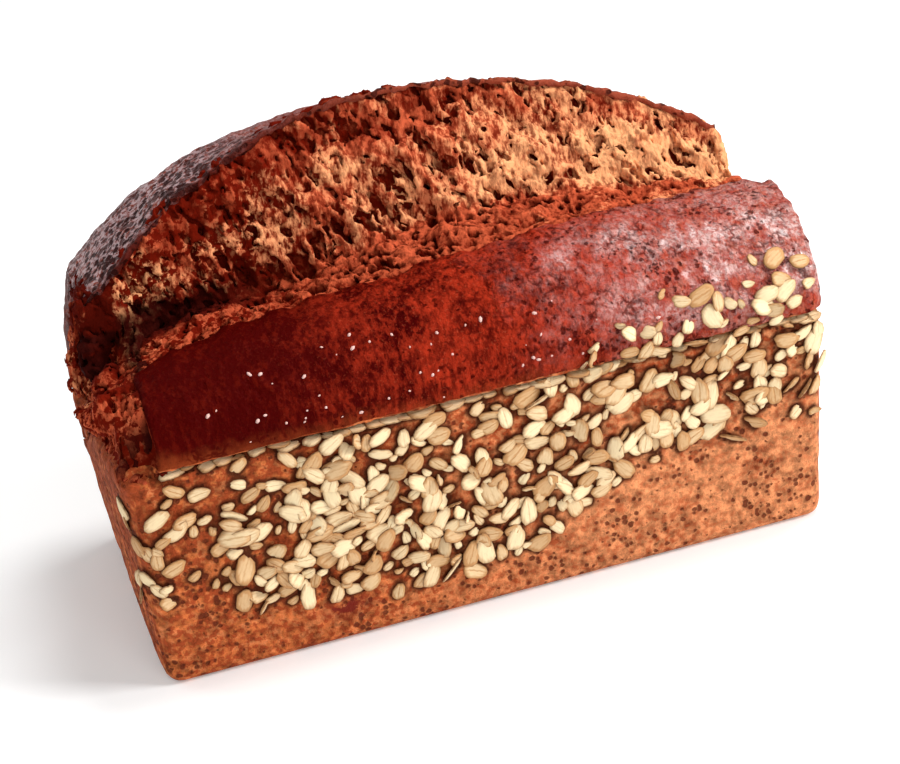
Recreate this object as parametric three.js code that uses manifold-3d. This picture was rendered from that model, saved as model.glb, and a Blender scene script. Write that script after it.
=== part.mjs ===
// An oat loaf baked in an open tin, in millimetres. X runs along the loaf, -Y is its front, +Z is up.
// The tin shaped the straight lower walls. Above the rim the top has torn open lengthways: the front
// crust stayed low, and the back half was lifted as a tall lid whose torn crumb faces the front.
// Rolled oats stick to both long walls. It is one solid: walls, crust, torn crumb and flakes together.
import * as THREE from 'three';
import { ImprovedNoise } from 'three/addons/math/ImprovedNoise.js';
import { mergeVertices } from 'three/addons/utils/BufferGeometryUtils.js';
import Module from 'manifold-3d';

// Driving dimensions of the tin-baked part
const LENGTH = 240;
const WIDTH = 110;
const RIM = 78;
const TAPER = 2.2;
const CORNER = 7;
const FOOT_ROUND = 4.5;
const END_BULGE = 3.2;
const LID_SETBACK = 3.4;

// Driving dimensions of the free crust and the tear
const CRUST_OVERHANG = 1.8;
const CRUST_THICKNESS = 1.6;
const FRONT_SHOULDER = 2.1;
const BACK_SHOULDER = 2.4;
const CREST_Y = 24;
const TORN_CORNER_X = -109;
const TORN_CORNER_DEPTH = 5;
const CRAG = 4;
const CRAG_SIZE = 11;
const STRAND = 1.8;
const STRAND_SIZE = 5;
const LIP_WANDER = 2.6;
const LIP_WANDER_SIZE = 9;
const CREASE = { depth: 1.5, above: 1.6, swell: 5.5 };

// The ragged upper edge of the front crust, as [x, y, z], and the height of the tear's foot, as [x, z]
const LIP = [
  [-120, -36, 99],
  [-103, -28, 106],
  [-66, -25, 111.5],
  [0, -25, 117],
  [50, -22, 119],
  [98, -13, 114.5],
  [120, -14, 112],
];
const TEAR_FOOT = [[-120, 101], [-84, 109], [-38, 111], [6, 121], [44, 119.5], [104, 110]];
const TEAR_FOOT_Y = { left: -6, middle: 0, right: 3 };

// The lid: its torn front edge and its crest are arches, cut short by its upright right end
const TORN_EDGE = { peakX: -15, peak: 164, left: 118, leftPower: 2, right: 124.5, rightPower: 2.2, low: 96 };
const CREST = { peakX: -10, peak: 157, left: 117, leftPower: 2.6, right: 113, rightPower: 2.4, low: 92 };
const TORN_EDGE_Y = { left: -3, right: 14 };
const LID_END = { x: 112, power: 0.35 };

// Holes in the torn crumb
const HOLE = { count: 34, small: 2.2, large: 4.6, gap: 9, tall: 1.35 };

// Oat flakes
const FLAKE = { length: 10, width: 6.4, thickness: 2.6, sides: 6, topShare: 0.68, tilt: 0.14, proud: 0.4 };
const FRONT_FLAKES = 144;
const BACK_FLAKES = 84;
const FLAKE_GAP = 7.2;
const SEED = 20;

// Mesh density: outlines stand at even steps along the middle, and closer where an end turns or drops
const EVEN = { step: 6, reach: 96 };
const NEAR_END = [101, 105.5, 109, 112, 114, 117, 119.4, 120];
const COUNT = { wall: 3, round: 3, frontCrust: 8, ledge: 6, tear: 12, backCrust: 9 };
const CAP_RINGS = [0.94, 0.82, 0.64, 0.38];
const CAP_CENTRE = { y: 8, z: 66 };
const SLIVER = 0.08;

const noise = new ImprovedNoise();
const wasm = await Module();
wasm.setup();

// A smooth function of x through the given [x, value] pairs
function through(pairs) {
  const curve = new THREE.CubicInterpolant(pairs.map((p) => p[0]), pairs.map((p) => p[1]), 1);
  return (x) => curve.evaluate(THREE.MathUtils.clamp(x, pairs[0][0], pairs.at(-1)[0]))[0];
}

const smooth = THREE.MathUtils.smoothstep;
const mix = THREE.MathUtils.lerp;
const lipY = through(LIP.map((p) => [p[0], p[1]]));
const lipZ = through(LIP.map((p) => [p[0], p[2]]));
const tearFootZ = through(TEAR_FOOT);

// A height that keeps its value up to the lid's right end and then falls steeply towards low
function pastLid(x, z, low) {
  const t = Math.max(0, x - LID_END.x) / (LENGTH / 2 - LID_END.x);
  return mix(z, low, t ** LID_END.power);
}

function arch(x, a) {
  const inLid = Math.min(x, LID_END.x);
  const reach = inLid < a.peakX ? a.peakX + LENGTH / 2 : LID_END.x - a.peakX;
  const [end, power] = inLid < a.peakX ? [a.left, a.leftPower] : [a.right, a.rightPower];
  const z = a.peak - (a.peak - end) * (Math.abs(inLid - a.peakX) / reach) ** power;
  return pastLid(x, z, a.low);
}

function lipAt(x) {
  const ragged = LIP_WANDER * noise.noise(x / LIP_WANDER_SIZE, 7.7, 1.3);
  return [lipY(x) + ragged, lipZ(x) + 0.5 * ragged];
}

function tearFootAt(x) {
  const { left, middle, right } = TEAR_FOOT_Y;
  const y = mix(left, middle, smooth(x, -120, -80)) + (right - middle) * smooth(x, 60, LID_END.x);
  return [y, pastLid(x, tearFootZ(x), TORN_EDGE.low - 1)];
}

function tornEdgeAt(x) {
  return [mix(TORN_EDGE_Y.left, TORN_EDGE_Y.right, smooth(x, -LENGTH / 2, 0)), arch(x, TORN_EDGE)];
}

// How far a round of radius r has drawn in at a distance d before its end
function drawnIn(r, d) {
  return d >= r ? 0 : r - Math.sqrt(r * r - (r - d) * (r - d));
}

function wallY(z) {
  return WIDTH / 2 - TAPER * (1 - z / RIM);
}

// A quarter of a superellipse from its upright start to its level end, both [y, z]
function shoulder(start, end, power, t) {
  const angle = t * Math.PI / 2;
  const out = Math.cos(angle) ** (2 / power);
  const up = Math.sin(angle) ** (2 / power);
  return [mix(end[0], start[0], out), mix(start[1], end[1], up)];
}

// Uneven crumb: rounded crags with finer upright strands
function crag(x, y, z) {
  const rough = noise.noise(x / CRAG_SIZE, y / CRAG_SIZE, z / CRAG_SIZE);
  const strand = noise.noise(x / STRAND_SIZE, y / STRAND_SIZE, z / (3 * STRAND_SIZE));
  return CRAG * rough + STRAND * strand;
}

// One long wall from its foot up to the crease under the free crust, as [distance from the middle, z]
function wallRows(inset, lift) {
  const rows = [];
  for (let i = 0; i < COUNT.round; i++) {
    const angle = (i / (COUNT.round - 1)) * Math.PI / 2;
    const out = FOOT_ROUND * (1 - Math.sin(angle));
    rows.push([wallY(FOOT_ROUND) - inset - out, lift + FOOT_ROUND * (1 - Math.cos(angle))]);
  }
  for (let i = 1; i <= COUNT.wall; i++) {
    const z = mix(lift + FOOT_ROUND, RIM, i / COUNT.wall);
    rows.push([wallY(z) - inset, z]);
  }
  rows.push([wallY(RIM) - CREASE.depth - inset, RIM + CREASE.above]);
  return rows;
}

// One closed outline of the loaf at x, from the front foot over the top to the back foot. Each point
// has its share of the torn relief, and how much of that goes up rather than out.
function outline(x) {
  const toEnd = LENGTH / 2 - Math.abs(x);
  const inset = drawnIn(CORNER, toEnd);
  const topInset = inset + TORN_CORNER_DEPTH * smooth(TORN_CORNER_X + 1.5 - x, 0, 3);
  const rows = wallRows(inset, drawnIn(FOOT_ROUND, toEnd));
  const crustOut = WIDTH / 2 + CRUST_OVERHANG;
  const frontStart = [-crustOut + topInset, RIM + CREASE.swell];
  const backStart = [crustOut - inset, RIM + CREASE.swell];
  const lip = lipAt(x);
  const ledge = [lip[0] + 0.6, lip[1] - CRUST_THICKNESS];
  const foot = tearFootAt(x);
  const top = tornEdgeAt(x);
  const crest = [CREST_Y, arch(x, CREST)];
  const points = [];
  const add = (y, z, torn = 0, up = 0) => points.push({ y, z, torn, up });

  rows.forEach(([y, z]) => add(-y, z));
  for (let i = 0; i < COUNT.frontCrust; i++) {
    add(...shoulder(frontStart, lip, FRONT_SHOULDER, 0.93 * i / (COUNT.frontCrust - 1)));
  }
  add(...ledge, 0.2, 1);
  for (let i = 1; i < COUNT.ledge; i++) {
    const t = i / COUNT.ledge;
    add(mix(ledge[0], foot[0], t), mix(ledge[1], foot[1], t), 1, 1);
  }
  for (let i = 0; i < COUNT.tear; i++) {
    const t = i / COUNT.tear;
    add(mix(foot[0], top[0], t), mix(foot[1], top[1], t), 1 - 0.6 * t ** 4, 0.4);
  }
  add(...top);
  for (let i = COUNT.backCrust - 1; i >= 0; i--) {
    add(...shoulder(backStart, crest, BACK_SHOULDER, i / (COUNT.backCrust - 1)));
  }
  rows.reverse().forEach(([y, z]) => add(y, z));
  return points;
}

// Where a point of the outline lies in the loaf, with the tapered, bulging ends and the torn relief
function placed(x, point) {
  const { y, z, torn, up } = point;
  const endward = smooth(Math.abs(x), 70, LENGTH / 2);
  const taper = TAPER * Math.max(0, 1 - z / RIM) * endward;
  const setback = LID_SETBACK * smooth(z, 84, 112) * smooth(-x, 80, LENGTH / 2);
  const rough = torn * crag(x, y, z);
  return new THREE.Vector3(x - Math.sign(x) * (taper + setback), y + (1 - up / 2) * rough, z + up * rough);
}

// How far the end wall stands out at y, z: a soft bulge, with upright strands where the left end tore
function endRelief(side, y, z) {
  if (side > 0) return 0;
  const band = smooth(z, 62, 82) * (1 - smooth(z, 118, 126));
  const groove = 3.4 * Math.exp(-(((z - 101) / 7) ** 2)) * smooth(30 - y, 0, 60);
  return band * 2 * STRAND * noise.noise(y / STRAND_SIZE, z / 30, 3.3) - groove;
}

function loafBody() {
  const xs = NEAR_END.map((x) => -x).reverse();
  for (let x = -EVEN.reach; x <= EVEN.reach; x += EVEN.step) xs.push(x);
  xs.push(...NEAR_END);
  const outlines = xs.map((x) => outline(x));
  const around = outlines[0].length;
  const rings = outlines.map((points, i) => points.map((p) => placed(xs[i], p)));

  const cap = (side) => {
    const rim = side < 0 ? rings[0] : rings.at(-1);
    const centre = new THREE.Vector3(rim[0].x, CAP_CENTRE.y, CAP_CENTRE.z);
    const ring = (share) => rim.map((point) => {
      const v = new THREE.Vector3().lerpVectors(centre, point, share);
      v.x = point.x + side * (END_BULGE * (1 - share * share) + endRelief(side, v.y, v.z));
      return v;
    });
    return CAP_RINGS.map(ring);
  };
  const left = cap(-1).reverse();
  const right = cap(1);
  const all = [...left, ...rings, ...right];
  const outermost = LENGTH / 2 + END_BULGE;
  const ends = [-1, 1].map((side) => new THREE.Vector3(side * outermost, CAP_CENTRE.y, CAP_CENTRE.z));

  const positions = [...all.flat(), ...ends].flatMap((v) => v.toArray());
  const index = [];
  for (let i = 0; i + 1 < all.length; i++) {
    for (let j = 0; j < around; j++) {
      const a = i * around + j;
      const b = i * around + (j + 1) % around;
      index.push(a, a + around, b, b, a + around, b + around);
    }
  }
  const last = (all.length - 1) * around;
  const [leftEnd, rightEnd] = [all.length * around, all.length * around + 1];
  for (let j = 0; j < around; j++) {
    const k = (j + 1) % around;
    index.push(leftEnd, j, k, rightEnd, last + k, last + j);
  }
  const geometry = new THREE.BufferGeometry();
  geometry.setAttribute('position', new THREE.Float32BufferAttribute(positions, 3));
  geometry.setIndex(index);
  return geometry;
}

// A rolled oat: a six-sided plate with sloping edges, longer than wide
function flakeGeometry(size) {
  const plate = new THREE.CylinderGeometry(FLAKE.topShare, 1, 1, FLAKE.sides);
  plate.rotateX(Math.PI / 2);
  plate.rotateZ(Math.PI / FLAKE.sides * 3);
  plate.scale(size * FLAKE.length / 2, size * FLAKE.width / 2, FLAKE.thickness);
  plate.translate(0, 0, FLAKE.proud);
  return plate;
}

// The height below which the long wall is bare, which climbs from left to right on the front
function bareBelow(x, side) {
  return side < 0 ? 14 + 26 * smooth(x, -10, 80) : 24 + 10 * smooth(-x, -60, 60);
}

function bareAbove(x, side) {
  return side < 0 ? 79 + 17 * smooth(x, 0, 60) : 84;
}

// Flakes spread evenly over a long wall, the largest first, on points found by looking at the body
function flakes(body, side, count, seed) {
  const looker = new THREE.Raycaster();
  const target = new THREE.Mesh(body, new THREE.MeshBasicMaterial({ side: THREE.DoubleSide }));
  const draw = (low, high) => mix(low, high, THREE.MathUtils.seededRandom());
  THREE.MathUtils.seededRandom(seed);
  const spots = [];
  const made = [];
  for (let tries = 0; made.length < count && tries < 40 * count; tries++) {
    const x = draw(-LENGTH / 2 + 8, LENGTH / 2 - 6);
    const z = draw(bareBelow(x, side), bareAbove(x, side));
    const spin = draw(-Math.PI / 2, Math.PI / 2);
    const tilts = [draw(-FLAKE.tilt, FLAKE.tilt), draw(-FLAKE.tilt, FLAKE.tilt)];
    if (spots.some((s) => Math.hypot(s[0] - x, s[1] - z) < FLAKE_GAP)) continue;
    looker.set(new THREE.Vector3(x, side * WIDTH, z), new THREE.Vector3(0, -side, 0));
    const [hit] = looker.intersectObject(target);
    const out = hit.face.normal.clone();
    if (out.y * side < 0) out.negate();
    const turn = new THREE.Quaternion().setFromUnitVectors(new THREE.Vector3(0, 0, 1), out);
    const geometry = flakeGeometry(1 - 0.25 * made.length / count);
    geometry.rotateZ(spin);
    geometry.rotateX(tilts[0]);
    geometry.rotateY(tilts[1]);
    geometry.applyQuaternion(turn);
    geometry.translate(...hit.point.toArray());
    spots.push([x, z]);
    made.push(geometry);
  }
  return made;
}

// Rounded pockets in the face of the tear, larger ones first and never touching each other
function holes() {
  const draw = (low, high) => mix(low, high, THREE.MathUtils.seededRandom());
  THREE.MathUtils.seededRandom(SEED + 2);
  const spots = [];
  const made = [];
  while (made.length < HOLE.count) {
    const x = draw(-100, 104);
    const t = draw(0.12, 0.86);
    const foot = tearFootAt(x);
    const top = tornEdgeAt(x);
    const [y, z] = [mix(foot[0], top[0], t), mix(foot[1], top[1], t)];
    const turn = draw(-0.6, 0.6);
    if (spots.some((s) => Math.hypot(s[0] - x, s[1] - z) < HOLE.gap)) continue;
    const radius = mix(HOLE.large, HOLE.small, made.length / HOLE.count);
    const pocket = new THREE.IcosahedronGeometry(radius, 0);
    pocket.scale(0.8, 1, HOLE.tall);
    pocket.rotateY(turn);
    pocket.translate(...placed(x, { y, z, torn: 1, up: 0.4 }).toArray());
    spots.push([x, z]);
    made.push(pocket);
  }
  return made;
}

function toManifold(geometry) {
  const bare = geometry.clone();
  bare.deleteAttribute('normal');
  bare.deleteAttribute('uv');
  const merged = mergeVertices(bare, 1e-4);
  return new wasm.Manifold(new wasm.Mesh({
    numProp: 3,
    vertProperties: new Float32Array(merged.attributes.position.array),
    triVerts: new Uint32Array(merged.index.array),
  }));
}

function toGeometry(solid) {
  const { vertProperties, triVerts } = solid.getMesh();
  const geometry = new THREE.BufferGeometry();
  geometry.setAttribute('position', new THREE.Float32BufferAttribute(vertProperties, 3));
  geometry.setIndex([...triVerts]);
  return geometry;
}

function loaf() {
  const body = loafBody();
  const oats = [...flakes(body, -1, FRONT_FLAKES, SEED), ...flakes(body, 1, BACK_FLAKES, SEED + 1)];
  const crumb = holes().reduce((whole, hole) => whole.subtract(toManifold(hole)), toManifold(body));
  const solid = oats.reduce((whole, flake) => whole.add(toManifold(flake)), crumb);
  const geometry = toGeometry(solid.asOriginal().simplify(SLIVER));
  geometry.computeBoundingBox();
  const { min, max } = geometry.boundingBox;
  geometry.translate(-(min.x + max.x) / 2, -(min.y + max.y) / 2, -min.z);
  const crust = new THREE.MeshStandardMaterial({ color: 0x8a4a26, roughness: 0.6, metalness: 0 });
  const mesh = new THREE.Mesh(geometry, crust);
  mesh.name = 'loaf';
  return mesh;
}

const object = new THREE.Group();
object.add(loaf());

export default object;
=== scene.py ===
"""The baked surface of an oat tin loaf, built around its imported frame.

The loaf was baked in an open tin. Above the rim its top has torn open lengthways: the front crust
stayed low, the back half rose as a lid, and open crumb shows between them and at the left end.
Lengths inside the functions are in millimetres; each finished mesh is scaled to metres.
X runs along the loaf, -Y is its front and +Z is up.
"""

import math
import random

import bmesh
import bpy
from bpy.props import FloatProperty, FloatVectorProperty, IntProperty, PointerProperty
from bpy.types import Operator, Panel, PropertyGroup
from mathutils import Matrix, Vector, noise
from mathutils.bvhtree import BVHTree


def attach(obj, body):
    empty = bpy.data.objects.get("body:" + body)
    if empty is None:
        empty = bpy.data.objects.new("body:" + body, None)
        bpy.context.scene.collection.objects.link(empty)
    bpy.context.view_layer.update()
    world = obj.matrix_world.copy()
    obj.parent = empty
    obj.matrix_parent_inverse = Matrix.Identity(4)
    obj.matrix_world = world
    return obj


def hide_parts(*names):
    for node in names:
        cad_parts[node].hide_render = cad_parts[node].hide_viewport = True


bl_info = {
    "name": "Oat tin loaf",
    "version": (1, 0, 0),
    "blender": (4, 5, 0),
    "location": "3D View > Sidebar > Loaf",
    "description": "Builds the crust, torn crumb and oat flakes of a tin-baked loaf",
    "category": "Object",
}

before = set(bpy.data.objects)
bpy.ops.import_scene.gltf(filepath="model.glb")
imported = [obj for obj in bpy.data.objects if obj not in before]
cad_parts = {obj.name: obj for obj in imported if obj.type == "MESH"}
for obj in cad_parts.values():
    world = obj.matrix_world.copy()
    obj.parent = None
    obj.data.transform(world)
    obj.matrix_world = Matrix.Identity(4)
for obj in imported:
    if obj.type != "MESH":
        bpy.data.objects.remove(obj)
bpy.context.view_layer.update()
NODE = "loaf"

MM = 0.001

# The front crust's ragged upper edge as (x, y, z), and the foot of the tear as (x, z)
LIP = (
    (-120, -36, 99),
    (-103, -28, 106),
    (-66, -25, 111.5),
    (0, -25, 117),
    (50, -22, 119),
    (98, -13, 114.5),
    (120, -14, 112),
)
TEAR_FOOT = ((-120, 101), (-84, 109), (-38, 111), (6, 121), (44, 119.5), (104, 110))
TEAR_FOOT_Y = (-6, 0, 3)

# The lid's torn edge and its crest: arches that its upright right end cuts short
TORN_EDGE = dict(peak_x=-15, peak=164, left=118, left_power=2, right=124.5, right_power=2.2, low=96)
CREST = dict(peak_x=-10, peak=157, left=117, left_power=2.6, right=113, right_power=2.4, low=92)
TORN_EDGE_Y = (-3, 14)
CREST_Y = 24
LID_END_X = 112
LID_END_POWER = 0.35
LID_SETBACK = 3.4
FRONT_SHOULDER = 2.1
BACK_SHOULDER = 2.4
TORN_CORNER_X = -109
TORN_CORNER_DEPTH = 5
END_BULGE = 4.2
CAP_CENTRE = (8, 66)
CREASE_SWELL = 6

# How far under the rim the crease between wall and crust starts
CREASE_DROP = 1.2

# How far outside a target a line towards the crust starts
RAY_START = 60

# How far from a flake the painted shade on the wall beside it reaches
FLAKE_SHADE = 2.6

# Height of the groove round the left end, under the lid, which is also painted dark as shade
GAP_Z = 106

# Where a dark scar shows low on the front wall
SCAR = (-55.0, -54.0, 13.5)

# How many points each stretch of an outline has, from the middle of the base round by the front
STRETCHES = (
    ("base", 8),
    ("foot", 5),
    ("wall", 46),
    ("crease", 6),
    ("front_crust", 44),
    ("lip", 4),
    ("ledge", 14),
    ("tear", 24),
    ("lid_edge", 4),
    ("lid", 74),
    ("crease", 6),
    ("wall", 40),
    ("foot", 5),
    ("base", 8),
)
FRONT_STRETCHES = 8
STATIONS = 200
LEFT_CAP_RINGS = 26
RIGHT_CAP_RINGS = 18

WALL_SLOT, FRONT_SLOT, LID_SLOT, DEEP_SLOT = range(4)


def in_metres(name, description, default):
    return FloatProperty(name=name, description=description, default=default, unit="LENGTH")


def whole(name, description, default):
    return IntProperty(name=name, description=description, default=default)


def in_degrees(name, description, default):
    return FloatProperty(name=name, description=description, default=math.radians(default), subtype="ANGLE")


def colour(name, description, default):
    return FloatVectorProperty(name=name, description=description, default=default, subtype="COLOR", size=3)


class LoafSizes(PropertyGroup):
    """Sizes of the loaf, its crumb and its flakes"""

    length: in_metres("Length", "Length of the tin-baked part at the rim", 0.240)
    width: in_metres("Width", "Width of the tin-baked part at the rim", 0.110)
    rim: in_metres("Rim height", "Height of the tin's rim", 0.078)
    taper: in_metres("Taper", "How far each wall leans in from rim to base", 0.0022)
    corner: in_metres("Corner radius", "Radius of the upright corners", 0.007)
    foot_round: in_metres("Foot radius", "Radius of the edges round the base", 0.0045)
    crust_overhang: in_metres("Crust overhang", "How far the free crust swells past the rim", 0.0018)
    crust_thickness: in_metres("Crust thickness", "Thickness of crust at its torn edges", 0.0022)
    crumb_depth: in_metres("Crumb depth", "Depth of the open crumb's layer", 0.0065)
    crumb_voxel: in_metres("Crumb voxel", "Finest detail of the open crumb", 0.00062)
    bubble: in_metres("Bubble size", "Usual distance between small bubbles", 0.0032)
    large_bubble: in_metres("Large bubble size", "Usual distance between large bubbles", 0.0105)
    flake_length: in_metres("Flake length", "Length of an oat flake", 0.0088)
    flake_width: in_metres("Flake width", "Width of an oat flake", 0.0056)
    front_flakes: whole("Front flakes", "Oat flakes on the front wall", 410)
    back_flakes: whole("Back flakes", "Oat flakes on the back wall", 350)
    corner_flakes: whole("Corner flakes", "Oat flakes round the left corner", 9)
    rim_flakes: whole("Rim flakes", "Oat flakes standing along the rim", 40)
    specks: whole("Specks", "Pale specks on the front crust", 48)
    seed: whole("Seed", "Seed of every random choice", 12)


class LoafColours(PropertyGroup):
    """Colours of the baked surfaces, in linear values"""

    wall: colour("Wall", "Tin-baked wall where it is palest", (0.66, 0.245, 0.10))
    wall_orange: colour("Wall orange", "Tin-baked wall towards the left", (0.55, 0.14, 0.038))
    wall_dark: colour("Wall dark", "Tin-baked wall where it baked darker", (0.30, 0.052, 0.014))
    pit: colour("Pit", "Small pits in the wall", (0.13, 0.022, 0.008))
    scar: colour("Scar", "Dark scar low on the front wall", (0.17, 0.014, 0.008))
    # Painted shade: the dark the wall is given just beside a flake
    shade: colour("Shade", "Wall just beside a flake", (0.055, 0.011, 0.003))
    mahogany: colour("Mahogany", "Front crust at its darkest", (0.055, 0.0008, 0.0006))
    mahogany_light: colour("Mahogany light", "Front crust at its palest", (0.43, 0.030, 0.010))
    russet: colour("Russet", "Front crust between the bloom", (0.50, 0.095, 0.042))
    # Partly a real pale bloom and partly a painted sheen of the soft lights on the glossy crust
    bloom_and_sheen: colour("Bloom", "Pale dusty bloom on the glossy crust", (0.80, 0.52, 0.48))
    lid: colour("Lid", "Crust of the lid", (0.19, 0.032, 0.018))
    # Partly a real greyish bloom and partly a painted sheen of the light on the lid's bumps
    lid_bloom_and_sheen: colour("Lid bloom", "Greyish bloom on the lid's crust", (0.66, 0.50, 0.52))
    crumb: colour("Crumb", "Outermost strands of crumb", (0.87, 0.385, 0.17))
    crumb_red: colour("Crumb red", "Outermost strands near the crust", (0.53, 0.093, 0.036))
    # Painted shade: the dark of the crumb down in its holes and of the recess behind it
    crumb_in_shade: colour("Crumb deep", "Crumb deep in its holes", (0.14, 0.006, 0.001))
    # Painted shade: near black in the crumb's furrows and gaps; the lid's pits use it too
    furrow: colour("Furrow", "Dark furrows at the left", (0.03, 0.002, 0.001))
    oat: colour("Oat", "Palest oat flakes", (0.93, 0.74, 0.45))
    oat_brown: colour("Oat brown", "Toasted oat flakes", (0.54, 0.28, 0.11))
    # Partly a real toasted edge and partly a painted shadow that outlines each flake
    oat_rim_and_shadow: colour("Oat rim", "Thin edges of the flakes", (0.15, 0.055, 0.016))
    speck: colour("Speck", "Palest specks on the crust", (0.70, 0.40, 0.33))
    floor: colour("Floor", "Studio floor", (0.93, 0.93, 0.93))


class CameraView(PropertyGroup):
    """Where the camera stands"""

    azimuth: in_degrees("Azimuth", "Turn round the loaf from its front", -13.33)
    elevation: in_degrees("Elevation", "Height above the horizon", 28.1)
    roll: in_degrees("Roll", "Turn of the picture about its middle", -7.457)
    distance: in_metres("Distance", "Distance from the target", 0.820)
    target: FloatVectorProperty(
        name="Target",
        description="Point at the middle of the picture",
        default=(0.0025, 0.0, 0.0579),
        unit="LENGTH",
    )
    lens: FloatProperty(name="Lens", description="Focal length in millimetres", default=94.51)


# Shapes in millimetres


def mix(a, b, t):
    return a + (b - a) * t


def smooth(value, low, high):
    """0 at low, 1 at high and an even S between them"""
    t = min(1, max(0, (value - low) / (high - low)))
    return t * t * (3 - 2 * t)


def through(pairs):
    """A smooth function of x through the given (x, value) pairs"""
    xs, values = zip(*pairs)
    last = len(xs) - 1

    def slope(i):
        a, b = max(0, i - 1), min(last, i + 1)
        return (values[b] - values[a]) / (xs[b] - xs[a])

    def at(x):
        x = min(xs[-1], max(xs[0], x))
        i = max(k for k in range(last) if xs[k] <= x)
        width = xs[i + 1] - xs[i]
        t = (x - xs[i]) / width
        start, end = slope(i) * width, slope(i + 1) * width
        rise = values[i + 1] - values[i]
        return values[i] + t * (start + t * (3 * rise - 2 * start - end + t * (start + end - 2 * rise)))

    return at


def drawn_in(radius, to_end):
    """How far a rounded edge has drawn in at a distance before its end"""
    return 0 if to_end >= radius else radius - math.sqrt(radius**2 - (radius - to_end) ** 2)


def rough(point, size, seed=0.0):
    """Smooth noise of about -1 to 1 whose bumps are size across"""
    return noise.noise(Vector(point) / size + Vector((seed, 3.1 * seed, 7.7)))


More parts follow.
